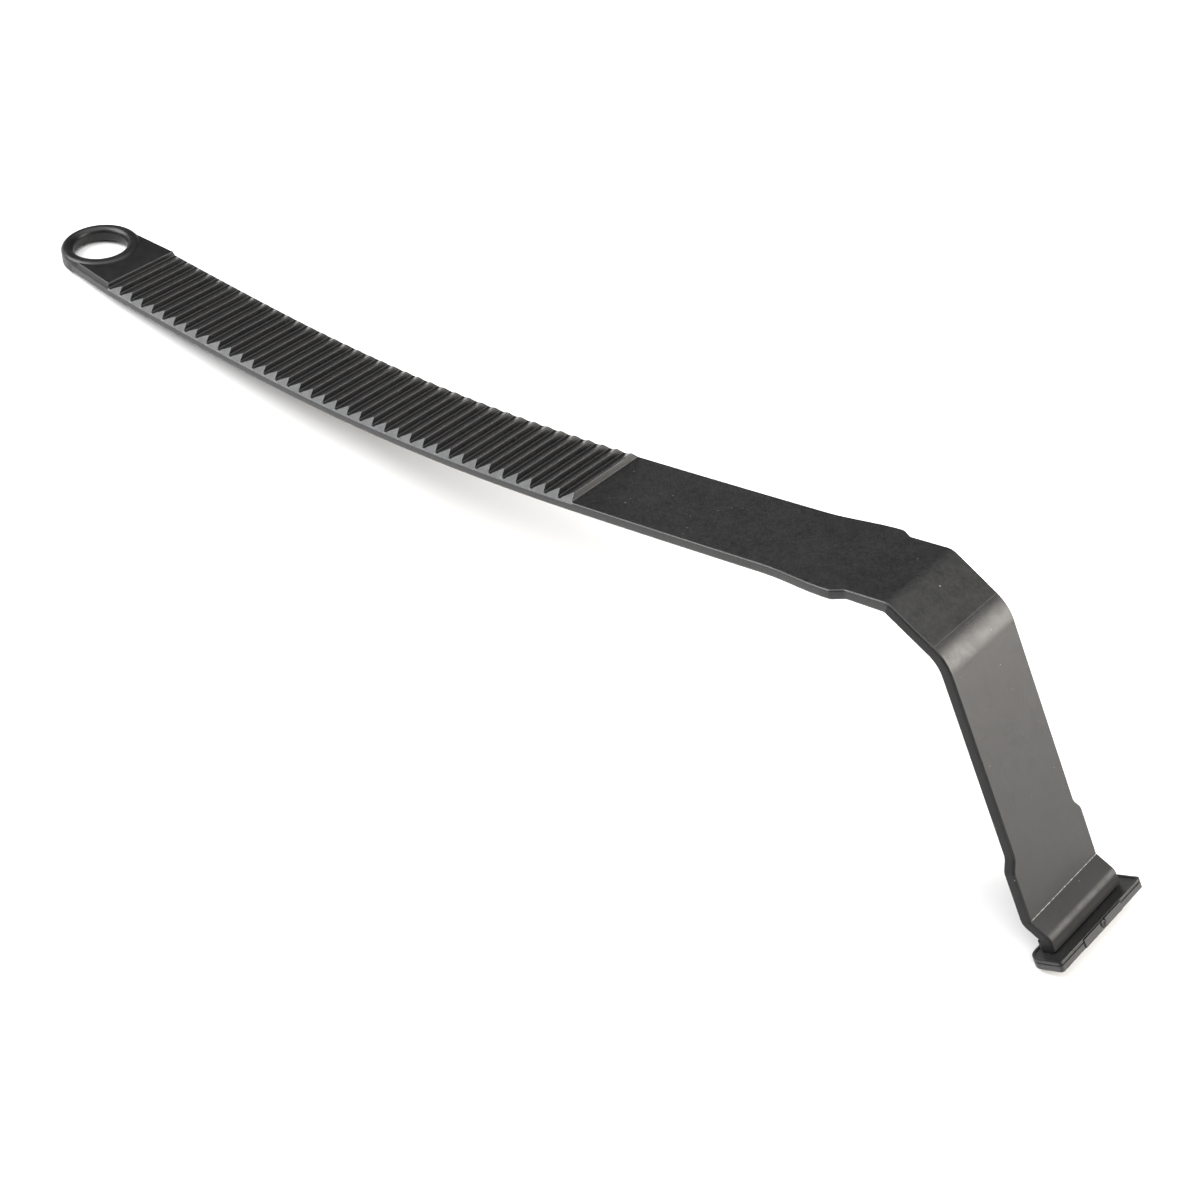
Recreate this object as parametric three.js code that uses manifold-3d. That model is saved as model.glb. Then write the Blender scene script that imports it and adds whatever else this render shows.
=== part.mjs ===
// Flat toothed lever: a curved strip with a ribbed grip and a hanging ring at one end,
// a cranked leg at the other, and a T-shaped foot with a separate sole.
// Millimetres, +Z up, +Y across the strip, +X from the ring towards the foot.
// It is drawn with the leg upright, then tilted until ring and foot both touch the floor.
import * as THREE from 'three';
import { mergeVertices } from 'three/addons/utils/BufferGeometryUtils.js';
import Module from 'manifold-3d';

const wasm = await Module();
wasm.setup();
const degrees = Math.PI / 180;

// Driving dimensions
const gap = 0.3;
const toothPitch = 5;
const toothCount = 38;
const toothHeight = 1.8;
const crestLand = 0.8;
const steepRun = 0.5;
const valleyRun = 0.7;
const stripThickness = 2.9;
const stripHalfWidth = 13.35;
const crestHalfWidth = 11.35;
const edgeChamfer = 0.35;
const gripBase = 1.0;

const ringHoleRadius = 8.6;
const ringOuterRadius = 12.2;
const ringRise = 2.0;
const ringToFirstTooth = 19.8;
const ringRound = 1.3;
const padHeight = 1.5;

const shoulderHalfWidth = 15;
const neckHalfWidth = 13.2;
const legHalfWidth = 12.9;
const legThickness = 3.3;
const calfHalfWidth = 14.7;
const stubThickness = 4.3;

const startHeading = -30.1;
const crownRadius = 4.5;
const crownTurn = -36.6;
const kneeRadius = 12;
const kneeTurn = -37.7;
const creaseRadius = 0.5;
const creaseTurn = 44.5;
const ankleRadius = 3;
const ankleTurn = -43.4;

const footHalfWidth = 17.9;
const footDepth = 9.6;
const footToe = 3.6;
const plateThickness = 0.8;
const soleThickness = 1.5;
const heelCorner = 3.5;
const toeCorner = 0.9;
const keyHalfWidth = 8;
const keyDepth = 3;
const keyProud = 0.25;

// The path of the strip's smooth upper face, from the ring to the foot.
// Each stretch has a length and the angle it turns through; s = 0 is the first tooth.
const gripLength = toothCount * toothPitch;
const leadIn = 40;
const curvedLength = 192;
const bladeLength = 93.7;
const slopeLength = 12.9;
const legLength = 64.6;
const instepLength = 4.4;
const stubLength = 2.4;
const arc = (radius, turn) => ({ length: radius * Math.abs(turn) * degrees, turn });
const crown = arc(crownRadius, crownTurn);
const knee = arc(kneeRadius, kneeTurn);
const crease = arc(creaseRadius, creaseTurn);
const ankle = arc(ankleRadius, ankleTurn);
const stretches = [
  { length: leadIn, turn: 0 },
  { length: 50, turn: 1.4 },
  { length: 50, turn: 3.9 },
  { length: 50, turn: 4.3 },
  { length: curvedLength - 150, turn: 2.8 },
  { length: bladeLength, turn: 0.9 },
  crown,
  { length: slopeLength, turn: 0 },
  knee,
  { length: legLength, turn: 0 },
  crease,
  { length: instepLength, turn: 0 },
  ankle,
  { length: stubLength, turn: 0 },
];
const pathStart = -leadIn;
const crownStart = curvedLength + bladeLength;
const crownEnd = crownStart + crown.length;
const kneeStart = crownEnd + slopeLength;
const kneeEnd = kneeStart + knee.length;
const creaseStart = kneeEnd + legLength;
const creaseEnd = creaseStart + crease.length;
const ankleStart = creaseEnd + instepLength;
const ankleEnd = ankleStart + ankle.length;
const pathEnd = ankleEnd + stubLength;

// Position and heading of the upper face at distance s along the path.
function pathFrame(s) {
  let x = 0;
  let z = 0;
  let heading = startHeading * degrees;
  let left = s - pathStart;
  for (const stretch of stretches) {
    const run = Math.min(left, stretch.length);
    const turn = stretch.turn * degrees * (run / stretch.length);
    const chord = turn === 0 ? run : (2 * run / turn) * Math.sin(turn / 2);
    x += chord * Math.cos(heading + turn / 2);
    z += chord * Math.sin(heading + turn / 2);
    heading += turn;
    left -= run;
    if (left <= 0) break;
  }
  return { x, z, heading };
}

// A point at distance s along the path, y across it and h above the upper face.
function onStrip(s, y, h) {
  const { x, z, heading } = pathFrame(s);
  return [x - h * Math.sin(heading), y, z + h * Math.cos(heading)];
}

function geometryOf(positions, indices) {
  const geometry = new THREE.BufferGeometry();
  geometry.setAttribute('position', new THREE.Float32BufferAttribute(positions, 3));
  geometry.setIndex(indices);
  return geometry;
}

// A closed solid through a row of cross-sections. Each section is a list of [s, y, h] points.
function loft(sections) {
  const count = sections[0].length;
  const positions = sections.flat().flatMap(([s, y, h]) => onStrip(s, y, h));
  const indices = [];
  for (let i = 0; i + 1 < sections.length; i += 1) {
    for (let j = 0; j < count; j += 1) {
      const a = i * count + j;
      const b = i * count + (j + 1) % count;
      indices.push(a, b, a + count, b, b + count, a + count);
    }
  }
  const last = (sections.length - 1) * count;
  for (let j = 1; j + 1 < count; j += 1) {
    indices.push(0, j + 1, j);
    indices.push(last, last + j, last + j + 1);
  }
  return geometryOf(positions, indices);
}

function solidOf(geometry) {
  const bare = geometry.index ? geometry.clone() : geometry;
  bare.deleteAttribute('normal');
  bare.deleteAttribute('uv');
  const merged = mergeVertices(bare, 1e-4);
  const vertProperties = new Float32Array(merged.attributes.position.array);
  const triVerts = new Uint32Array(merged.index.array);
  return new wasm.Manifold(new wasm.Mesh({ numProp: 3, vertProperties, triVerts }));
}

function geometryFrom(solid) {
  const { vertProperties, triVerts } = solid.getMesh();
  const geometry = geometryOf(Array.from(vertProperties), Array.from(triVerts));
  geometry.computeVertexNormals();
  return geometry;
}

function cut(geometry, tool) {
  return geometryFrom(solidOf(geometry).subtract(solidOf(tool)));
}

function named(name, geometry, color, roughness) {
  const material = new THREE.MeshStandardMaterial({ color, roughness, metalness: 0 });
  const mesh = new THREE.Mesh(geometry, material);
  mesh.name = name;
  return mesh;
}

// Straight lines between [s, value] pairs.
function along(table, s) {
  const next = table.findIndex(([at]) => at > s);
  if (next === 0) return table[0][1];
  if (next < 0) return table[table.length - 1][1];
  const [s0, v0] = table[next - 1];
  const [s1, v1] = table[next];
  return v0 + (v1 - v0) * (s - s0) / (s1 - s0);
}

// The upright wall around the hanging ring that the strip and the grip are cut back to.
function ringClearance() {
  const tool = new THREE.CylinderGeometry(ringOuterRadius + gap, ringOuterRadius + gap, 20, 64);
  tool.rotateX(90 * degrees);
  const { x, z, heading } = pathFrame(-ringToFirstTooth);
  tool.rotateY(-heading);
  tool.translate(x, 0, z);
  return tool;
}

// Shank: the strip under the grip, the smooth blade, the shoulders, the leg and its ankle.
const shankStart = -ringToFirstTooth + 5;
const gripEnd = gripLength + 0.4;
const shoulderFlare = gripLength + 61;
const shoulderFull = shoulderFlare + 18;
const shoulderBack = shoulderFull + 3;
const neckStart = shoulderBack + 2.6;
const calfStart = kneeEnd + 48.7;
const calfFull = calfStart + 3.3;
const shankWidth = [
  [shankStart, ringOuterRadius + 0.3],
  [0, stripHalfWidth],
  [shoulderFlare, stripHalfWidth],
  [shoulderFlare + 5, stripHalfWidth + 0.4],
  [shoulderFull - 5, shoulderHalfWidth - 0.3],
  [shoulderFull, shoulderHalfWidth],
  [shoulderBack, shoulderHalfWidth],
  [neckStart, neckHalfWidth],
  [kneeEnd, legHalfWidth],
  [calfStart, legHalfWidth],
  [calfFull, calfHalfWidth],
  [pathEnd, calfHalfWidth],
];
const shankTop = [
  [shankStart, -gripBase - gap],
  [gripEnd, -gripBase - gap],
  [gripEnd + 0.1, 0],
];
const shankUnder = [
  [crownStart - 10, -stripThickness],
  [crownEnd, -legThickness],
  [ankleStart, -legThickness],
  [ankleEnd, -stubThickness],
];

function bentSteps(from, to, count) {
  return Array.from({ length: count + 1 }, (_, i) => from + (to - from) * i / count);
}

function shank() {
  const stops = new Set([
    ...bentSteps(shankStart, gripEnd, 40),
    gripEnd + 0.1,
    ...shankWidth.map(([s]) => s),
    ...bentSteps(crownStart, crownEnd, 6),
    ...bentSteps(kneeStart, kneeEnd, 8),
    ...bentSteps(creaseStart, creaseEnd, 4),
    ...bentSteps(ankleStart, ankleEnd, 6),
    pathEnd,
  ]);
  const sections = [...stops].sort((a, b) => a - b).map((s) => {
    const half = along(shankWidth, s);
    const top = along(shankTop, s);
    const under = along(shankUnder, s);
    const c = edgeChamfer;
    return [
      [s, half - c, top], [s, -half + c, top], [s, -half, top - c], [s, -half, under + c],
      [s, -half + c, under], [s, half - c, under], [s, half, under + c], [s, half, top - c],
    ];
  });
  return named('shank', cut(loft(sections), ringClearance()), 0x141415, 0.55);
}

// Ribbed grip: a thin band laid on the strip, with a plain pad by the ring and ratchet teeth
// that rise slowly on the ring side and drop steeply on the foot side.
function toothHeights() {
  const heights = [[shankStart, padHeight], [-steepRun, padHeight]];
  for (let tooth = 0; tooth < toothCount; tooth += 1) {
    const start = tooth * toothPitch;
    const crest = start + toothPitch - steepRun;
    heights.push([start, 0.15]);
    heights.push([start + valleyRun, 0]);
    heights.push([crest - crestLand, toothHeight - 0.15]);
    heights.push([crest, toothHeight]);
  }
  heights.push([gripLength, 0]);
  return heights;
}

function ribbedGrip() {
  const sections = toothHeights().map(([s, height]) => {
    const rootHalf = along(shankWidth, s);
    const topHalf = rootHalf - (stripHalfWidth - crestHalfWidth) * (height + 0.1) / toothHeight;
    return [
      [s, topHalf, height], [s, -topHalf, height], [s, -rootHalf, -0.1],
      [s, -rootHalf, -gripBase], [s, rootHalf, -gripBase], [s, rootHalf, -0.1],
    ];
  });
  return named('ribbed_grip', cut(loft(sections), ringClearance()), 0x101011, 0.45);
}

// Hanging ring: a round eyelet standing a little above the pad, with rounded rims.
function hangRing() {
  const outline = new THREE.Shape();
  const [inner, outer, low, high, r] =
    [ringHoleRadius, ringOuterRadius, -stripThickness, ringRise, ringRound];
  outline.moveTo(inner + 0.4, low);
  outline.lineTo(outer - 0.4, low);
  outline.lineTo(outer, low + 0.4);
  outline.lineTo(outer, high - r);
  outline.absarc(outer - r, high - r, r, 0, Math.PI / 2, false);
  outline.absarc(inner + r, high - r, r, Math.PI / 2, Math.PI, false);
  outline.lineTo(inner, low + 0.4);
  outline.lineTo(inner + 0.4, low);
  const section = outline.getPoints(5);
  const geometry = new THREE.LatheGeometry(section, 64);
  geometry.rotateX(90 * degrees);
  const ring = named('hang_ring', geometry, 0x0e0e0f, 0.35);
  const { x, z, heading } = pathFrame(-ringToFirstTooth);
  ring.position.set(x, 0, z);
  ring.rotation.y = -heading;
  return ring;
}

// The foot: everything under the end of the leg lies flat, square to the upright leg.
const legEnd = pathFrame(pathEnd);
const toeX = legEnd.x + footToe;
const heelX = toeX - footDepth;
const plateTop = legEnd.z - gap;
const plateLow = plateTop - plateThickness;
const soleTop = plateLow - gap;

function footOutline() {
  const outline = new THREE.Shape();
  const h = footHalfWidth;
  outline.absarc(toeX - toeCorner, h - toeCorner, toeCorner, 0, Math.PI / 2, false);
  outline.absarc(heelX + heelCorner, h - heelCorner, heelCorner, Math.PI / 2, Math.PI, false);
  outline.absarc(heelX + heelCorner, -h + heelCorner, heelCorner, Math.PI, Math.PI * 1.5, false);
  outline.absarc(toeX - toeCorner, -h + toeCorner, toeCorner, Math.PI * 1.5, Math.PI * 2, false);
  return outline;
}

function slab(outline, top, thickness) {
  const geometry = new THREE.ExtrudeGeometry(outline, {
    depth: thickness, bevelEnabled: false, curveSegments: 8,
  });
  geometry.translate(0, 0, top - thickness);
  return geometry;
}

function box(x0, x1, halfY, z0, z1) {
  const geometry = new THREE.BoxGeometry(x1 - x0, 2 * halfY, z1 - z0);
  geometry.translate((x0 + x1) / 2, 0, (z0 + z1) / 2);
  return geometry;
}

function footPlate() {
  return named('foot_plate', slab(footOutline(), plateTop, plateThickness), 0x121213, 0.5);
}

function footSole() {
  const slot = box(
    toeX - keyDepth - gap, toeX + 5, keyHalfWidth + gap, soleTop - soleThickness - 1, soleTop + 1,
  );
  const sole = cut(slab(footOutline(), soleTop, soleThickness), slot);
  return named('foot_sole', sole, 0x2c2c2d, 0.6);
}

// Key that fills the slot in the middle of the sole and stands a little proud at the toe.
function soleKey() {
  const block = box(
    toeX - keyDepth, toeX + keyProud, keyHalfWidth, soleTop - soleThickness, soleTop,
  );
  return named('sole_key', block, 0x29292a, 0.6);
}

const tool = new THREE.Group();
tool.add(shank(), ribbedGrip(), hangRing(), footPlate(), footSole(), soleKey());

// Tilt the whole tool until the ring and the sole are equally low, then stand it on z = 0.
function lowest(name) {
  tool.updateMatrixWorld(true);
  return new THREE.Box3().setFromObject(tool.getObjectByName(name), true).min.z;
}
const ringCentre = pathFrame(-ringToFirstTooth);
const reach = Math.hypot(toeX - ringCentre.x, soleTop - ringCentre.z);
tool.rotation.y = -34 * degrees;
for (let pass = 0; pass < 6; pass += 1) {
  tool.rotation.y += (lowest('foot_sole') - lowest('hang_ring')) / reach;
}
tool.updateMatrixWorld(true);
const bounds = new THREE.Box3().setFromObject(tool, true);
tool.position.set(-(bounds.min.x + bounds.max.x) / 2, 0, -bounds.min.z);

export default tool;
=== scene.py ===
import bpy
import bmesh
import math
from mathutils import Matrix, Vector


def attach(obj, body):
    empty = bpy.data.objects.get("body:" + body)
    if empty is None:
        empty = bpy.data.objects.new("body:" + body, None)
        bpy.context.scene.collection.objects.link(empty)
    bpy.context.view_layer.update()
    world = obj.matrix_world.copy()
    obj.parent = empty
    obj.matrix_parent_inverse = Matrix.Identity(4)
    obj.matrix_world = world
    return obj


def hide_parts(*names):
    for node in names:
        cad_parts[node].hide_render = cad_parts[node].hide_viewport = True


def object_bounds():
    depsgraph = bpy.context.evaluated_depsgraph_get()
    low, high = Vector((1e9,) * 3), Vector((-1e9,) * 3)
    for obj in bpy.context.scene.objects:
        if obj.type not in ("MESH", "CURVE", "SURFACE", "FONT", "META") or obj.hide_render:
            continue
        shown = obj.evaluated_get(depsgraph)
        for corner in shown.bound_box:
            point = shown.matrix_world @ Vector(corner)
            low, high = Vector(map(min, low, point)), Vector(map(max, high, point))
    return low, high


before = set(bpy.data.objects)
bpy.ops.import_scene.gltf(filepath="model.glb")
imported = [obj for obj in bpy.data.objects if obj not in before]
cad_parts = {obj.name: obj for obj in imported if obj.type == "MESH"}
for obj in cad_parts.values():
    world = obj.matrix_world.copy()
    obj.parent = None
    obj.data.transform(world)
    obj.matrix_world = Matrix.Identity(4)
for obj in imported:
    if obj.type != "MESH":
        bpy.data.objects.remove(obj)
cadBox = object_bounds()
mm = 0.001
deg = math.radians(1)
print("frame loaded:", sorted(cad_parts))

# the line that the strip's smooth upper face follows; s = 0 is the first tooth, in mm
path = {
    "leadIn": 40,          # straight stretch before the first tooth
    "heading": 5.53,       # slope of that stretch above the floor, degrees
    "startBack": 7.89,     # its start lies this far behind the object's lowest x
    "startHeight": 2.077,
    "handle": [(50, 1.4), (50, 3.9), (50, 4.3), (42, 2.8), (93.7, 0.9)],  # length, turn
    "crownRadius": 4.5, "crownTurn": -36.6,
    "slope": 12.9,
    "kneeRadius": 12, "kneeTurn": -37.7,
    "leg": 64.6,
    "creaseRadius": 0.5, "creaseTurn": 44.5,
    "instep": 4.4,
    "ankleRadius": 3, "ankleTurn": -43.4,
    "stub": 2.4,
    "handlePoints": 300,   # points of the line that the pieces are bent along
    "bendPoints": 60,
}
bendStretches = (("crown", "slope"), ("knee", "leg"), ("crease", "instep"), ("ankle", "stub"))


def arcLength(radius, turn):
    return radius * abs(turn) * deg


def pathStretches():
    stretches = [(path["leadIn"], 0)] + path["handle"]
    for bend, straight in bendStretches:
        turn = path[bend + "Turn"]
        stretches += [(arcLength(path[bend + "Radius"], turn), turn), (path[straight], 0)]
    return stretches


# distances along the path where each bend starts and ends
marks = {}
reached = sum(length for length, turn in path["handle"])
for bend, straight in bendStretches:
    marks[bend + "Start"] = reached
    reached += arcLength(path[bend + "Radius"], path[bend + "Turn"])
    marks[bend + "End"] = reached
    reached += path[straight]
marks["end"] = reached


def pathPoint(s, h=0):
    # world place, and heading, of the point h above the path at distance s
    x = cadBox[0][0] / mm - path["startBack"]
    z = path["startHeight"]
    heading = path["heading"] * deg
    left = s + path["leadIn"]
    for length, turn in pathStretches():
        run = min(left, length)
        turned = turn * deg * run / length
        chord = run if turned == 0 else 2 * run / turned * math.sin(turned / 2)
        x += chord * math.cos(heading + turned / 2)
        z += chord * math.sin(heading + turned / 2)
        heading += turned
        left -= run
        if left <= 0:
            break
    return Vector((x - h * math.sin(heading), 0, z + h * math.cos(heading))) * mm, heading


def flatX(s):
    return (s + path["leadIn"]) * mm


# helpers for shaping a piece
def only(obj):
    bpy.ops.object.select_all(action="DESELECT")
    obj.select_set(True)
    bpy.context.view_layer.objects.active = obj


def openEdit(obj, mode="VERT"):
    only(obj)
    bpy.ops.object.mode_set(mode="EDIT")
    bpy.ops.mesh.select_mode(type=mode)
    bpy.ops.mesh.select_all(action="DESELECT")


def closeEdit():
    bpy.ops.object.mode_set(mode="OBJECT")


def pickVerts(obj, test):
    work = bmesh.from_edit_mesh(obj.data)
    for vert in work.verts:
        vert.select_set(test(vert.co))
    work.select_flush(False)
    bmesh.update_edit_mesh(obj.data)


def pickEdges(obj, test):
    bpy.ops.mesh.select_mode(type="EDGE")
    work = bmesh.from_edit_mesh(obj.data)
    for edge in work.edges:
        edge.select_set(False)
    for edge in work.edges:
        if test(edge.verts[0].co, edge.verts[1].co):
            edge.select_set(True)
    bmesh.update_edit_mesh(obj.data)


def pickFaces(obj, test):
    bpy.ops.mesh.select_mode(type="FACE")
    work = bmesh.from_edit_mesh(obj.data)
    for face in work.faces:
        face.select_set(False)
    for face in work.faces:
        if test(face.calc_center_median(), face.normal):
            face.select_set(True)
    bmesh.update_edit_mesh(obj.data)


def sliceAcross(places):
    for x in places:
        bpy.ops.mesh.select_all(action="SELECT")
        bpy.ops.mesh.bisect(plane_co=(x, 0, 0), plane_no=(1, 0, 0), threshold=1e-6)


def addBlock(name, low, high):
    low, high = Vector(low), Vector(high)
    bpy.ops.object.select_all(action="DESELECT")
    bpy.ops.mesh.primitive_cube_add(size=1, location=(low + high) / 2)
    block = bpy.context.object
    block.name = name
    block.data.name = name
    block.scale = high - low
    bpy.ops.object.transform_apply(location=True, rotation=True, scale=True)
    return block


def addCylinder(name, radius, depth, vertices):
    bpy.ops.object.select_all(action="DESELECT")
    bpy.ops.mesh.primitive_cylinder_add(vertices=vertices, radius=radius * mm, depth=depth * mm)
    cylinder = bpy.context.object
    cylinder.name = name
    return cylinder


def applyModifier(obj, kind, **settings):
    only(obj)
    modifier = obj.modifiers.new(kind.lower(), kind)
    for key, value in settings.items():
        setattr(modifier, key, value)
    bpy.ops.object.modifier_apply(modifier=modifier.name)


def cutAway(obj, cutter):
    applyModifier(obj, "BOOLEAN", operation="DIFFERENCE", object=cutter, solver="EXACT")
    bpy.data.objects.remove(cutter)


def smooth(obj, angle=35):
    only(obj)
    bpy.ops.object.shade_smooth_by_angle(angle=angle * deg)
    applyModifier(obj, "WEIGHTED_NORMAL", weight=100, keep_sharp=True)


def near(a, b):
    return abs(a - b) < 2e-6


def along(table, s):
    # reads a value at distance s from a table of distances and values
    if s <= table[0][0]:
        return table[0][1]
    for (s0, v0), (s1, v1) in zip(table, table[1:]):
        if s <= s1:
            return v0 + (v1 - v0) * (s - s0) / (s1 - s0)
    return table[-1][1]


def steps(start, end, count):
    return [start + (end - start) * i / count for i in range(count + 1)]


def makePathCurve():
    # a fine poly curve, closer set in the bends, that flat pieces are bent along
    stops = set(steps(-path["leadIn"], marks["crownStart"], path["handlePoints"]))
    for bend, straight in bendStretches:
        stops |= set(steps(marks[bend + "Start"], marks[bend + "End"], path["bendPoints"]))
    stops.add(marks["end"])
    curve = bpy.data.curves.new("bendLine", "CURVE")
    curve.dimensions = "3D"
    spline = curve.splines.new("POLY")
    points = [pathPoint(s)[0] for s in sorted(stops)]
    spline.points.add(len(points) - 1)
    for point, place in zip(spline.points, points):
        point.co = (*place, 1)
    line = bpy.data.objects.new("bendLine", curve)
    bpy.context.scene.collection.objects.link(line)
    return line


bendLine = makePathCurve()
print("path laid out, mm long:", round(marks["end"] + path["leadIn"], 1))


def newMaterial(name):
    material = bpy.data.materials.new(name)
    material.use_nodes = True
    nodes = material.node_tree.nodes
    return material, nodes, material.node_tree.links, nodes["Principled BSDF"]


def addNoise(nodes, links, coords, scale, detail, rough):
    noise = nodes.new("ShaderNodeTexNoise")
    noise.inputs["Scale"].default_value = scale
    noise.inputs["Detail"].default_value = detail
    noise.inputs["Roughness"].default_value = rough
    links.new(coords, noise.inputs["Vector"])
    return noise.outputs["Fac"]


def addRamp(nodes, links, source, stops):
    ramp = nodes.new("ShaderNodeValToRGB")
    while len(ramp.color_ramp.elements) < len(stops):
        ramp.color_ramp.elements.new(0.5)
    for element, (place, value) in zip(ramp.color_ramp.elements, stops):
        element.position = place
        color = value if isinstance(value, tuple) else (value, value, value)
        element.color = (*color, 1)
    links.new(source, ramp.inputs["Fac"])
    return ramp.outputs["Color"]


def addMath(nodes, links, operation, a, b):
    node = nodes.new("ShaderNodeMath")
    node.operation = operation
    for socket, value in zip(node.inputs, (a, b)):
        if isinstance(value, (int, float)):
            socket.default_value = value
        else:
            links.new(value, socket)
    return node.outputs[0]


def addMix(nodes, links, factor, a, b):
    mix = nodes.new("ShaderNodeMix")
    mix.data_type = "RGBA"
    links.new(factor, mix.inputs[0])
    for socket, value in ((mix.inputs[6], a), (mix.inputs[7], b)):
        if isinstance(value, tuple):
            socket.default_value = (*value, 1)
        else:
            links.new(value, socket)
    return mix.outputs[2]


def addBump(nodes, links, height, strength, distance, before=None):
    bump = nodes.new("ShaderNodeBump")
    bump.inputs["Strength"].default_value = strength
    bump.inputs["Distance"].default_value = distance
    links.new(height, bump.inputs["Height"])
    if before is not None:
        links.new(before, bump.inputs["Normal"])
    return bump.outputs["Normal"]


# satin black moulded polymer: dark and light are the ends of its colour, rough the middle of
# its roughness, grain the depth of its fine bumps, and sheen the tint of its highlights
polymers = {
    "moulded_black": {"dark": 0.006, "light": 0.010, "rough": 0.38, "grain": 0.75, "specular": 0.5},
    # a darker, less glossy copy of the polymer past the crease, which dims the ankle's highlight: painted
    # shade
    "ankle_shaded_black": {"dark": 0.005, "light": 0.009, "rough": 0.48, "grain": 0.70, "specular": 0.40},
    # a darker, less glossy copy of the polymer for the side walls past the crown: painted shade
    "leg_side_shaded_black": {"dark": 0.004, "light": 0.008, "rough": 0.44, "grain": 0.50, "specular": 0.26},
    "ribbed_black": {"dark": 0.003, "light": 0.006, "rough": 0.36, "grain": 0.30, "specular": 0.5,
                     "sheen": (0.97, 0.98, 1.0)},
    "rim_black": {"dark": 0.003, "light": 0.006, "rough": 0.40, "grain": 0.18, "specular": 0.40},
    "sole_grey": {"dark": 0.020, "light": 0.032, "rough": 0.50, "grain": 0.35, "specular": 0.5},
}

# shared by all the polymers: each noise has a scale, a detail and a roughness
polymerNoises = {
    "cloud": (60, 4, 0.55),    # slow shading over centimetres
    "patches": (260, 3, 0.6),  # patches of duller surface
    "mottle": (900, 3, 0.6),   # millimetre mottling
    "speck": (1900, 0, 0.5),   # dust
    "grain": (3200, 3, 0.6),   # fine moulded grain
}
polymerSurface = {
    "colorSpan": (0.38, 0.62),     # noise values at the dark and the light colour
    "coolDark": (1, 1, 1.04),
    "warmLight": (1.02, 1, 0.98),
    "dustColor": (0.20, 0.20, 0.19),
    "dustStops": [(0.885, 0.0), (0.9, 1.0)],
    "roughSpan": (0.36, 0.64),     # noise values at the smoother and the duller end
    "smoother": 0.05,              # how far roughness goes to either side of its middle
    "duller": 0.07,
    "mottleStrength": 0.28,
    "mottleHeight": 0.04,
    "grainHeight": 0.02,
}


def makePolymer(name):
    look = polymers[name]
    surface = polymerSurface
    material, nodes, links, shader = newMaterial(name)
    coords = nodes.new("ShaderNodeTexCoord").outputs["Object"]
    noises = {kind: addNoise(nodes, links, coords, *sizes) for kind, sizes in polymerNoises.items()}

    def halfAndHalf(a, b):
        total = addMath(nodes, links, "ADD", noises[a], noises[b])
        return addMath(nodes, links, "MULTIPLY", total, 0.5)

    ends = (tuple(look["dark"] * part for part in surface["coolDark"]),
            tuple(look["light"] * part for part in surface["warmLight"]))
    color = addRamp(nodes, links, halfAndHalf("cloud", "mottle"), list(zip(surface["colorSpan"], ends)))
    dust = addRamp(nodes, links, noises["speck"], surface["dustStops"])
    color = addMix(nodes, links, dust, color, surface["dustColor"])
    links.new(color, shader.inputs["Base Color"])
    ends = look["rough"] - surface["smoother"], look["rough"] + surface["duller"]
    rough = addRamp(nodes, links, halfAndHalf("patches", "mottle"), list(zip(surface["roughSpan"], ends)))
    links.new(rough, shader.inputs["Roughness"])
    shader.inputs["Specular IOR Level"].default_value = look["specular"]
    shader.inputs["Specular Tint"].default_value = (*look.get("sheen", (1, 1, 1)), 1)
    normal = addBump(nodes, links, noises["mottle"], surface["mottleStrength"], surface["mottleHeight"] * mm)
    normal = addBump(nodes, links, noises["grain"], look["grain"], surface["grainHeight"] * mm, normal)
    links.new(normal, shader.inputs["Normal"])
    return material


# a light grey line painted along the sharp crease above the foot, broken by nicks
creaseLineLook = {
    "nicks": (1100, 4, 0.7),
    "stops": [(0.42, (0.03, 0.03, 0.03)), (0.58, (0.34, 0.34, 0.33))],
    "rough": 0.6,
    "nickStrength": 0.5,
    "nickHeight": 0.05,
}


def makeCreaseLine():
    look = creaseLineLook
    material, nodes, links, shader = newMaterial("crease_light_line")
    coords = nodes.new("ShaderNodeTexCoord").outputs["Object"]
    nicks = addNoise(nodes, links, coords, *look["nicks"])
    links.new(addRamp(nodes, links, nicks, look["stops"]), shader.inputs["Base Color"])
    shader.inputs["Roughness"].default_value = look["rough"]
    normal = addBump(nodes, links, nicks, look["nickStrength"], look["nickHeight"] * mm)
    links.new(normal, shader.inputs["Normal"])
    return material


materials = {name: makePolymer(name) for name in polymers}
materials["crease_light_line"] = makeCreaseLine()
print("materials made:", len(materials))


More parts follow.
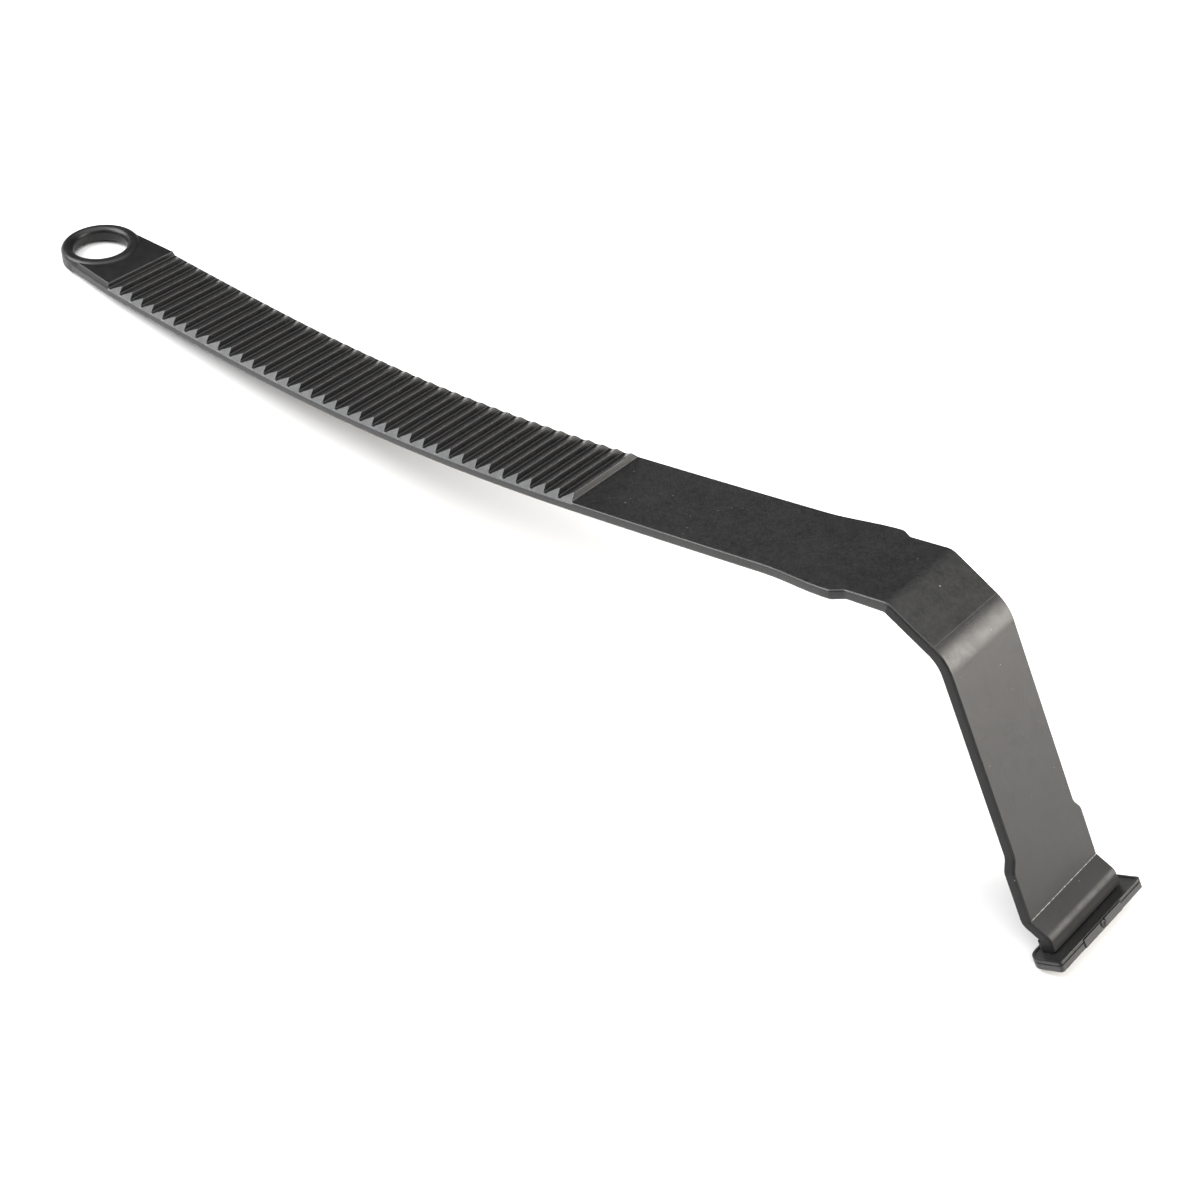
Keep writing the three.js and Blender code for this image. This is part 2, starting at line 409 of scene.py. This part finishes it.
# shank: strip under the grip, blade, shoulders, crank, leg and ankle, in one length
shankLook = {
    "start": -19.8,        # the strip starts at the ring's middle, where the ring's cut removes it
    "overrun": 0.2,        # how far it runs into the foot plate
    "thickness": 2.9,
    "halfWidth": 13.35,
    "bed": 1.0,            # how far the strip is cut down under the grip
    "gripEnd": 190.35,
    "legThickness": 3.3,
    "stubThickness": 4.3,
    "topRound": 0.6,
    "underRound": 0.9,
    "thickenOver": 10,     # the strip reaches the leg's thickness over this length before the crown
    "ridgeHeight": 0.06,   # faint moulded line across the strip at the knee
    "ridgeSteps": (-0.45, -0.2, 0.2),
    "creaseInset": 0.1,    # the painted light line stops this far inside the crease
    "shadedSidesAfter": 2,    # past the crown's start, by this much, the side walls get a darker, less glossy copy of the polymer: painted shade
    "bedStep": 0.04,       # length of the step up at the end of the grip
    "gripCuts": 42,
    "bladeCuts": 12,
    "bladeMargins": (8, 2),
    "bendCuts": (("crown", 12), ("knee", 16), ("crease", 6), ("ankle", 10)),
    "widths": [            # distance along the path and half width
        (-19.8, 12.15), (-10, 12.75), (0, 13.35), (251, 13.35), (254, 13.45), (257.5, 13.75),
        (262, 14.3), (266, 14.75), (270, 15), (271.9, 15), (272.6, 14.85), (275.1, 13.35),
        (275.8, 13.2), (294, 13.15), (312, 12.9),
    ],
    "calfAfterKnee": 48.3,
    "calfWidths": [(0, 12.9), (1, 13.2), (3, 14.5), (3.8, 14.7)],  # the same, from the calf on
}
calf = marks["kneeEnd"] + shankLook["calfAfterKnee"]
widthTable = shankLook["widths"] + [(calf + s, half) for s, half in shankLook["calfWidths"]]
widthTable.append((marks["end"], widthTable[-1][1]))


def shankStops(start, end):
    # where the strip is cut across: at each change of width, along the grip, and in the bends
    look = shankLook
    stops = {s for s, half in widthTable if start < s < end}
    stops |= set(steps(start, look["gripEnd"], look["gripCuts"])[1:])
    stops.add(look["gripEnd"] + look["bedStep"])
    before, after = look["bladeMargins"]
    stops |= set(steps(look["gripEnd"] + before, marks["crownStart"] - after, look["bladeCuts"]))
    for bend, count in look["bendCuts"]:
        stops |= set(steps(marks[bend + "Start"], marks[bend + "End"], count))
    return stops | {marks["kneeStart"] + step for step in look["ridgeSteps"]}


def makeShank():
    look = shankLook
    start, end = look["start"], marks["end"] + look["overrun"]
    half, thickness = look["halfWidth"], look["thickness"]
    nearTop, nearUnder = -0.5 * mm, -2.5 * mm
    shank = addBlock("shank_body", (flatX(start), -half * mm, -thickness * mm), (flatX(end), half * mm, 0))
    stops = shankStops(start, end)
    openEdit(shank)
    sliceAcross([flatX(s) for s in sorted(stops)])
    under = [(marks["crownStart"] - look["thickenOver"], thickness),
             (marks["crownEnd"], look["legThickness"]),
             (marks["ankleStart"], look["legThickness"]),
             (marks["ankleEnd"], look["stubThickness"])]
    for s in sorted(stops | {start, end}):
        x = flatX(s)
        bpy.ops.mesh.select_mode(type="VERT")
        pickVerts(shank, lambda co: near(co.x, x))
        bpy.ops.transform.resize(value=(1, along(widthTable, s) / half, 1), center_override=(x, 0, 0))
        deeper = along(under, s) - thickness
        if deeper > 0:
            pickVerts(shank, lambda co: near(co.x, x) and co.z < nearUnder)
            bpy.ops.transform.translate(value=(0, 0, -deeper * mm))
    bedEnd = flatX(look["gripEnd"]) + 1e-6
    pickVerts(shank, lambda co: co.x < bedEnd and co.z > nearTop)
    bpy.ops.transform.translate(value=(0, 0, -look["bed"] * mm))
    ridge = flatX(marks["kneeStart"] + look["ridgeSteps"][1])
    pickVerts(shank, lambda co: near(co.x, ridge) and co.z > nearTop)
    bpy.ops.transform.translate(value=(0, 0, look["ridgeHeight"] * mm))
    topStart = flatX(look["gripEnd"] + look["bedStep"] * 0.75)

    def lengthwise(a, b):
        return a.y * b.y > 0 and not near(a.x, b.x)

    pickEdges(shank, lambda a, b: lengthwise(a, b) and min(a.x, b.x) > topStart
              and min(a.z, b.z) > nearTop)
    bpy.ops.mesh.bevel(offset=look["topRound"] * mm, segments=3, affect="EDGES", clamp_overlap=True)
    pickEdges(shank, lambda a, b: lengthwise(a, b) and max(a.z, b.z) < nearUnder)
    bpy.ops.mesh.bevel(offset=look["underRound"] * mm, segments=3, affect="EDGES", clamp_overlap=True)
    closeEdit()
    return shank


def shankFinishes(shank):
    # the faces of the still flat strip that get another material than the rest, by the index of that material
    inset = shankLook["creaseInset"]
    creaseLow, creaseHigh = flatX(marks["creaseStart"] + inset), flatX(marks["creaseEnd"] - inset)
    shadedSidesStart = flatX(marks["crownStart"] + shankLook["shadedSidesAfter"])
    faces = shank.data.polygons
    # top faces in the crease get the painted light line
    creaseLined = [f.index for f in faces if creaseLow < f.center.x < creaseHigh and f.normal.z > 0.9]
    # instep, ankle and stub past the crease get the darker copy: painted shade
    ankle = [f.index for f in faces if f.center.x > creaseHigh]
    # side walls past the crown get the darker copy: painted shade
    edges = [f.index for f in faces if f.center.x > shadedSidesStart and abs(f.normal.y) > 0.8]
    return (1, creaseLined), (2, ankle), (3, edges)


# grip: one tooth is modelled and repeated, the pad by the ring is joined on
gripLook = {
    "pitch": 5,
    "count": 38,
    "padHeight": 1.5,
    "base": 1.0,
    "endLean": 0.95,       # how far a tooth's end leans in for each mm of height
    "padLean": 0.3,
    "edgeChamfer": 0.43,   # along the band's upper side edge, below the teeth
    "padRound": 0.25,
    "profile": [           # distance along the pitch and height of the tooth
        (0, 0.24), (0.07, 0.12), (0.2, 0.03), (0.42, 0.0), (0.88, 0.0), (1.08, 0.04), (1.24, 0.13),
        (1.42, 0.31), (3.95, 1.56), (4.3, 1.73), (4.52, 1.8), (4.68, 1.76), (4.78, 1.62),
    ],
    "lastFoot": [          # the same for the ramp that runs out on the blade
        (0, 0.24), (0.1, 0.1), (0.22, 0.04), (0.33, 0.021), (0.4, 0.001),
    ],
    "padProfile": [        # distance along the path and depth below the pad's top
        (-19.8, 0), (-15, 0), (-10, 0), (-5, 0), (-0.75, 0), (-0.45, 0.02), (-0.3, 0.08), (-0.2, 0.22),
    ],
    "firstRise": 0.02,     # the upper face is first lifted by this much, then to its level
}


def raiseTop(band, levels):
    # lifts the upper face to each level and leans its ends in, cross-section by cross-section
    look = gripLook
    for s, height in levels:
        x = flatX(s)
        pickVerts(band, lambda co: near(co.x, x) and co.z > look["firstRise"] / 2 * mm)
        bpy.ops.transform.translate(value=(0, 0, (height - look["firstRise"]) * mm))
        foot = along(widthTable, s) - look["edgeChamfer"]
        slope = look["padLean"] if s < 0 else look["endLean"]
        lean = (foot - look["firstRise"] - height * slope) / foot
        bpy.ops.transform.resize(value=(1, lean, 1), center_override=(x, 0, 0))


def makeBand(name, levels):
    # a stretch of the grip: a low block, narrowed to the strip and chamfered, with a raised top
    look = gripLook
    start, end = levels[0][0], levels[-1][0]
    half, chamfer = shankLook["halfWidth"], look["edgeChamfer"]
    band = addBlock(name, (flatX(start), -half * mm, -look["base"] * mm), (flatX(end), half * mm, 0))
    openEdit(band)
    sliceAcross([flatX(s) for s, height in levels if start < s < end])
    bpy.ops.mesh.select_all(action="SELECT")
    bpy.ops.mesh.bisect(plane_co=(0, 0, -chamfer * mm), plane_no=(0, 0, 1), threshold=1e-6)
    bpy.ops.mesh.select_mode(type="VERT")
    for s, height in levels:
        x = flatX(s)
        width = along(widthTable, s)
        pickVerts(band, lambda co: near(co.x, x))
        bpy.ops.transform.resize(value=(1, width / half, 1), center_override=(x, 0, 0))
        pickVerts(band, lambda co: near(co.x, x) and near(co.z, 0))
        bpy.ops.transform.resize(value=(1, 1 - chamfer / width, 1), center_override=(x, 0, 0))
    pickFaces(band, lambda center, normal: normal.z > 0.9)
    bpy.ops.mesh.extrude_region_move(TRANSFORM_OT_translate={"value": (0, 0, look["firstRise"] * mm)})
    bpy.ops.mesh.select_mode(type="VERT")
    raiseTop(band, levels)
    return band


def openEnds(band, test):
    pickFaces(band, lambda center, normal: test(normal.x))
    bpy.ops.mesh.delete(type="FACE")


def makeTeeth():
    look = gripLook
    tooth = makeBand("tooth", look["profile"] + [(look["pitch"], look["profile"][0][1])])
    openEnds(tooth, lambda x: abs(x) > 0.999)
    closeEdit()
    applyModifier(tooth, "ARRAY", count=look["count"], use_relative_offset=False, use_constant_offset=True,
                  constant_offset_displace=(look["pitch"] * mm, 0, 0), use_merge_vertices=True,
                  merge_threshold=2e-6)
    return tooth


def makePad():
    look = gripLook
    rise = look["padHeight"]
    levels = [(s, rise - drop) for s, drop in look["padProfile"]] + [(0, look["profile"][0][1])]
    pad = makeBand("ribbed_band", levels)
    openEnds(pad, lambda x: x > 0.999)
    topEdge = (rise - 0.01) * mm
    pickEdges(pad, lambda a, b: min(a.z, b.z) > topEdge and a.y * b.y > 0 and not near(a.x, b.x))
    bpy.ops.mesh.bevel(offset=look["padRound"] * mm, segments=3, affect="EDGES", clamp_overlap=True)
    closeEdit()
    return pad


def makeLastFoot():
    look = gripLook
    last = look["pitch"] * look["count"]
    foot = makeBand("lastFoot", [(last + s, height) for s, height in look["lastFoot"]])
    openEnds(foot, lambda x: x < -0.999)
    closeEdit()
    return foot


def makeGrip():
    teeth, pad, foot = makeTeeth(), makePad(), makeLastFoot()
    bpy.ops.object.select_all(action="DESELECT")
    for part in (teeth, foot, pad):
        part.select_set(True)
    bpy.context.view_layer.objects.active = pad
    bpy.ops.object.join()
    openEdit(pad)
    bpy.ops.mesh.select_all(action="SELECT")
    bpy.ops.mesh.remove_doubles(threshold=4e-6)
    bpy.ops.mesh.select_all(action="DESELECT")
    bpy.ops.mesh.select_non_manifold()
    bpy.ops.mesh.edge_face_add()
    bpy.ops.mesh.select_all(action="SELECT")
    bpy.ops.mesh.normals_make_consistent(inside=False)
    closeEdit()
    return pad


def bendAlongPath(obj):
    applyModifier(obj, "CURVE", object=bendLine, deform_axis="POS_X")


# ring: a rounded section spun round, then laid on the end of the path
ringLook = {
    "centre": -19.8,
    "hole": 8.35,
    "outer": 12.2,
    "low": -2.9,
    "high": 2.0,
    "holeShift": 0.4,      # the hole sits a little towards the tip
    "rounds": {("in", "top"): 1.75, ("out", "top"): 1.5, ("in", "low"): 1.5, ("out", "low"): 0.45},
    "spinSteps": 128,
    "overlap": 0.6,        # the strip and the pad run this far inside the ring's wall
}


def atRing():
    centre, heading = pathPoint(ringLook["centre"])
    return Matrix.Translation(centre) @ Matrix.Rotation(-heading, 4, "Y")


def makeRingSection():
    look = ringLook
    width, height = look["outer"] - look["hole"], look["high"] - look["low"]
    bpy.ops.object.select_all(action="DESELECT")
    bpy.ops.mesh.primitive_plane_add(size=1)
    section = bpy.context.object
    openEdit(section)
    bpy.ops.mesh.select_all(action="SELECT")
    bpy.ops.transform.resize(value=(width * mm, height * mm, 1), center_override=(0, 0, 0))
    for (side, level), radius in look["rounds"].items():
        cornerX = (-0.5 if side == "in" else 0.5) * width * mm
        cornerY = (0.5 if level == "top" else -0.5) * height * mm
        pickVerts(section, lambda co: near(co.x, cornerX) and near(co.y, cornerY))
        bpy.ops.mesh.bevel(offset=radius * mm, segments=8, affect="VERTICES")
    closeEdit()
    place = ((look["hole"] + width / 2) * mm, 0, (look["low"] + height / 2) * mm)
    section.data.transform(Matrix.Translation(place) @ Matrix.Rotation(90 * deg, 4, "X"))
    return section


def makeRing():
    look = ringLook
    ring = makeRingSection()
    ring.name = "hang_ring_rim"
    openEdit(ring)
    bpy.ops.mesh.select_all(action="SELECT")
    bpy.ops.mesh.delete(type="ONLY_FACE")  # only the outline is spun, so nothing is left inside
    bpy.ops.mesh.select_all(action="SELECT")
    bpy.ops.mesh.spin(steps=look["spinSteps"], angle=2 * math.pi, center=(0, 0, 0), axis=(0, 0, 1))
    bpy.ops.mesh.select_mode(type="VERT")
    innerReach = (look["hole"] + look["rounds"]["in", "top"] + 0.05) * mm
    pickVerts(ring, lambda co: math.hypot(co.x, co.y) < innerReach)
    bpy.ops.transform.translate(value=(-look["holeShift"] * mm, 0, 0))
    bpy.ops.mesh.select_all(action="SELECT")
    bpy.ops.mesh.remove_doubles(threshold=4e-6)
    bpy.ops.mesh.normals_make_consistent(inside=False)
    closeEdit()
    ring.data.transform(atRing())
    return ring


def cutAtRing(obj):
    cutter = addCylinder("ringCut", ringLook["outer"] - ringLook["overlap"], depth=30, vertices=96)
    cutter.data.transform(atRing())
    cutAway(obj, cutter)


# foot: plate, sole and key, laid out level with the toe towards +X, then tilted under the leg
footLook = {
    "toe": 3.6,
    "depth": 9.6,
    "halfWidth": 17.9,
    "plate": 0.8,
    "sole": 1.5,
    "gap": 0.3,
    "heelCorner": 3.5,
    "toeCorner": 0.9,
    "rimWidth": 0.7,       # flat rim round the plate's top, and the slope down inside it
    "rimSlope": 0.2,
    "rimDrop": 0.22,
    "rimRound": 0.12,
    "soleInset": 1.0,      # the sole's middle rises to the plate, this far inside its edge
    "soleRound": 0.16,
}
footTop = -footLook["gap"]
soleTop = footTop - footLook["plate"] - footLook["gap"]
pastFoot = 20              # cutters reach this far, well past the foot

# key: the middle of the sole's front, with a lip over the edge of the plate
keyLook = {
    "half": 8,
    "depth": 3,
    "proud": 0.25,
    "clearance": 0.03,     # below the sole's top
    "lip": 0.75,
    "lipGap": 0.02,        # between the lip and the edge of the plate
    "slotGap": 0.22,       # round the key, in the sole and the plate
    "slotRoof": 0.02,      # the slot in the sole ends this far below the sole's top
    "lipSlot": 0.3,        # height of the slot in the plate's edge above the lip
    "lipSlotDepth": 0.5,
    "round": 0.09,
}

# pip: a round moulding mark with a sunk middle, in a recess at the centre of the toe
pipLook = {
    "radius": 0.8,
    "recess": 1.15,
    "recessDepth": 0.35,
    "proud": 0.15,
    "height": -1.35,
    "length": 0.8,
    "rim": 0.26,
    "slope": 0.06,
    "sunk": 0.14,
    "round": 0.1,
}


def placeFoot(obj):
    end, heading = pathPoint(marks["end"])
    tilt = heading + 90 * deg  # the leg stands square on the plate
    obj.data.transform(Matrix.Translation(end) @ Matrix.Rotation(-tilt, 4, "Y"))


def footBlock(name, top, thickness):
    look = footLook
    toe, half = look["toe"], look["halfWidth"]
    low = ((toe - look["depth"]) * mm, -half * mm, (top - thickness) * mm)
    block = addBlock(name, low, (toe * mm, half * mm, top * mm))

    def upright(a, b):
        return near(a.x, b.x) and near(a.y, b.y)

    openEdit(block)
    pickEdges(block, lambda a, b: upright(a, b) and a.x < 0)
    bpy.ops.mesh.bevel(offset=look["heelCorner"] * mm, segments=10, affect="EDGES")
    pickEdges(block, lambda a, b: upright(a, b) and near(a.x, toe * mm))
    bpy.ops.mesh.bevel(offset=look["toeCorner"] * mm, segments=5, affect="EDGES")
    return block


def makeFootPlate():
    look = footLook
    plate = footBlock("foot_plate_top", footTop, look["plate"])
    pickFaces(plate, lambda center, normal: normal.z > 0.9)
    bpy.ops.mesh.inset(thickness=look["rimWidth"] * mm, depth=0)
    bpy.ops.mesh.inset(thickness=look["rimSlope"] * mm, depth=-look["rimDrop"] * mm)
    pickEdges(plate, lambda a, b: near(a.z, b.z) and a.z > (footTop - 0.01) * mm)
    bpy.ops.mesh.bevel(offset=look["rimRound"] * mm, segments=2, affect="EDGES")
    closeEdit()
    slotHalf = keyLook["half"] + keyLook["slotGap"]
    slotTop = soleTop - keyLook["clearance"] + keyLook["lip"] + keyLook["lipSlot"]
    slot = addBlock("lipSlot", ((look["toe"] - keyLook["lipSlotDepth"]) * mm, -slotHalf * mm, -pastFoot * mm),
                    (pastFoot * mm, slotHalf * mm, slotTop * mm))
    cutAway(plate, slot)
    return plate


def makeFootSole():
    look = footLook
    sole = footBlock("foot_sole_pad", soleTop, look["sole"])
    pickFaces(sole, lambda center, normal: normal.z > 0.9)
    bpy.ops.mesh.inset(thickness=look["soleInset"] * mm, depth=0)
    bpy.ops.mesh.extrude_region_move(TRANSFORM_OT_translate={"value": (0, 0, look["gap"] * mm)})
    closeEdit()
    slotHalf = keyLook["half"] + keyLook["slotGap"]
    slotBack = look["toe"] - keyLook["depth"] - keyLook["slotGap"]
    slot = addBlock("keySlot", (slotBack * mm, -slotHalf * mm, -pastFoot * mm),
                    (pastFoot * mm, slotHalf * mm, (soleTop - keyLook["slotRoof"]) * mm))
    cutAway(sole, slot)
    applyModifier(sole, "BEVEL", width=look["soleRound"] * mm, segments=2, limit_method="ANGLE",
                  angle_limit=40 * deg)
    return sole


def makeKey():
    look = keyLook
    toe = footLook["toe"]
    back, front = toe - look["depth"], toe + look["proud"]
    low = (back * mm, -look["half"] * mm, (soleTop - footLook["sole"]) * mm)
    high = (front * mm, look["half"] * mm, (soleTop - look["clearance"]) * mm)
    key = addBlock("sole_key_bar", low, high)
    openEdit(key)
    sliceAcross([(toe + look["lipGap"]) * mm])
    pickFaces(key, lambda center, normal: normal.z > 0.9 and center.x > toe * mm)
    bpy.ops.mesh.extrude_region_move(TRANSFORM_OT_translate={"value": (0, 0, look["lip"] * mm)})
    bpy.ops.mesh.select_all(action="SELECT")
    bpy.ops.mesh.remove_doubles(threshold=1e-6)
    pickEdges(key, lambda a, b: min(a.x, b.x) > (front - 0.05) * mm
              or near(a.x, b.x) and near(a.x, back * mm))
    bpy.ops.mesh.bevel(offset=look["round"] * mm, segments=3, affect="EDGES")
    closeEdit()
    cutterLength = 1
    recess = addCylinder("pipRecess", pipLook["recess"], depth=cutterLength, vertices=48)
    place = ((front - pipLook["recessDepth"] + cutterLength / 2) * mm, 0, pipLook["height"] * mm)
    recess.data.transform(Matrix.Translation(place) @ Matrix.Rotation(90 * deg, 4, "Y"))
    cutAway(key, recess)
    return key


def makePip():
    look = pipLook
    pip = addCylinder("toe_pip", look["radius"], depth=look["length"], vertices=32)
    openEdit(pip)
    pickFaces(pip, lambda center, normal: normal.z > 0.9)
    bpy.ops.mesh.inset(thickness=look["rim"] * mm, depth=0)
    bpy.ops.mesh.inset(thickness=look["slope"] * mm, depth=-look["sunk"] * mm)
    top, edge = look["length"] / 2 * mm, look["radius"] * 0.9 * mm
    pickEdges(pip, lambda a, b: near(a.z, top) and near(b.z, top) and a.xy.length > edge)
    bpy.ops.mesh.bevel(offset=look["round"] * mm, segments=3, affect="EDGES")
    closeEdit()
    front = footLook["toe"] + keyLook["proud"] + look["proud"]
    place = ((front - look["length"] / 2) * mm, 0, look["height"] * mm)
    pip.data.transform(Matrix.Translation(place) @ Matrix.Rotation(90 * deg, 4, "Y"))
    return pip


def finishPiece(piece, node, slot, *finishes):
    piece.data.materials.clear()
    for name in finishes:
        piece.data.materials.append(materials[name])
    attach(piece, "root")
    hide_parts(node)


shank = makeShank()
unlikeFaces = shankFinishes(shank)
bendAlongPath(shank)
finishPiece(shank, "shank", "shank_black", "moulded_black", "crease_light_line", "ankle_shaded_black", "leg_side_shaded_black")
for finish, faces in unlikeFaces:
    for index in faces:
        shank.data.polygons[index].material_index = finish
cutAtRing(shank)
smooth(shank)
print("shank:", len(shank.data.polygons), "faces")

grip = makeGrip()
bendAlongPath(grip)
cutAtRing(grip)
finishPiece(grip, "ribbed_grip", "grip_black", "ribbed_black")
smooth(grip, 32)
print("grip:", len(grip.data.polygons), "faces")

ring = makeRing()
finishPiece(ring, "hang_ring", "ring_black", "rim_black")
smooth(ring, 40)
print("ring:", len(ring.data.polygons), "faces")

for piece, node, slot, finish in ((makeFootPlate(), "foot_plate", "foot_black", "moulded_black"),
                                  (makeFootSole(), "foot_sole", "sole_grey", "sole_grey"),
                                  (makeKey(), "sole_key", "sole_grey", "sole_grey"),
                                  (makePip(), "sole_key", "sole_grey", "moulded_black")):
    placeFoot(piece)
    finishPiece(piece, node, slot, finish)
    smooth(piece)
    print(piece.name + ":", len(piece.data.polygons), "faces")

bpy.data.objects.remove(bendLine)


# floor, camera and lights
studio = {
    "floorSize": 12,
    "floorGrey": 0.75,
    "floorRough": 0.9,
    "world": 0.09,
    "lens": 62.8,
    "eye": (0.27398, -0.3227, 0.3929),
    "forward": (-0.4311, 0.5729, -0.6971),
    "up": (-0.5104, 0.4822, 0.7120),
    "lights": [            # name, place, aim, width, height, watts, colour
        ("overheadSoft", (0.1, -0.1, 1.6), (0.1, -0.1, 0), 2.4, 2.4, 46, (1, 1, 1)),
        ("rightSide", (0.52, 0.335, 0.285), (0.15, 0, 0.05), 0.4, 0.35, 5.0, (1, 0.955, 0.89)),
        ("frontLeft", (-0.82, -0.66, 0.79), (0, 0, 0.03), 1.1, 0.9, 32, (1, 1, 1)),
    ],
}


def makeFloor():
    bpy.ops.object.select_all(action="DESELECT")
    bpy.ops.mesh.primitive_plane_add(size=studio["floorSize"], location=(0, 0, 0))
    floor = bpy.context.object
    floor.name = "floor"
    material, nodes, links, shader = newMaterial("floor_white")
    shader.inputs["Base Color"].default_value = (studio["floorGrey"],) * 3 + (1,)
    shader.inputs["Roughness"].default_value = studio["floorRough"]
    floor.data.materials.append(material)


def makeCamera():
    camera = bpy.data.cameras.new("camera")
    camera.lens = studio["lens"]
    camera.sensor_width = 36
    camera.clip_start = 0.01
    eye = bpy.data.objects.new("camera", camera)
    bpy.context.scene.collection.objects.link(eye)
    forward = Vector(studio["forward"]).normalized()
    right = forward.cross(Vector(studio["up"])).normalized()
    up = right.cross(forward)
    turn = Matrix((right, up, -forward)).transposed()
    eye.matrix_world = Matrix.Translation(studio["eye"]) @ turn.to_4x4()
    bpy.context.scene.camera = eye


def makeLights():
    for name, place, aim, width, height, watts, tint in studio["lights"]:
        light = bpy.data.lights.new(name, "AREA")
        light.shape = "RECTANGLE"
        light.size, light.size_y, light.energy = width, height, watts
        light.color = tint
        lamp = bpy.data.objects.new(name, light)
        lamp.location = place
        lamp.visible_camera = False
        lamp.rotation_euler = (Vector(aim) - Vector(place)).to_track_quat("-Z", "Y").to_euler()
        bpy.context.scene.collection.objects.link(lamp)
    world = bpy.data.worlds.new("studio")
    bpy.context.scene.world = world
    world.use_nodes = True
    background = world.node_tree.nodes["Background"]
    background.inputs["Color"].default_value = (1, 1, 1, 1)
    background.inputs["Strength"].default_value = studio["world"]
    bpy.context.scene.view_settings.view_transform = "Standard"


makeFloor()
makeCamera()
makeLights()
print("floor, camera and lights ready")
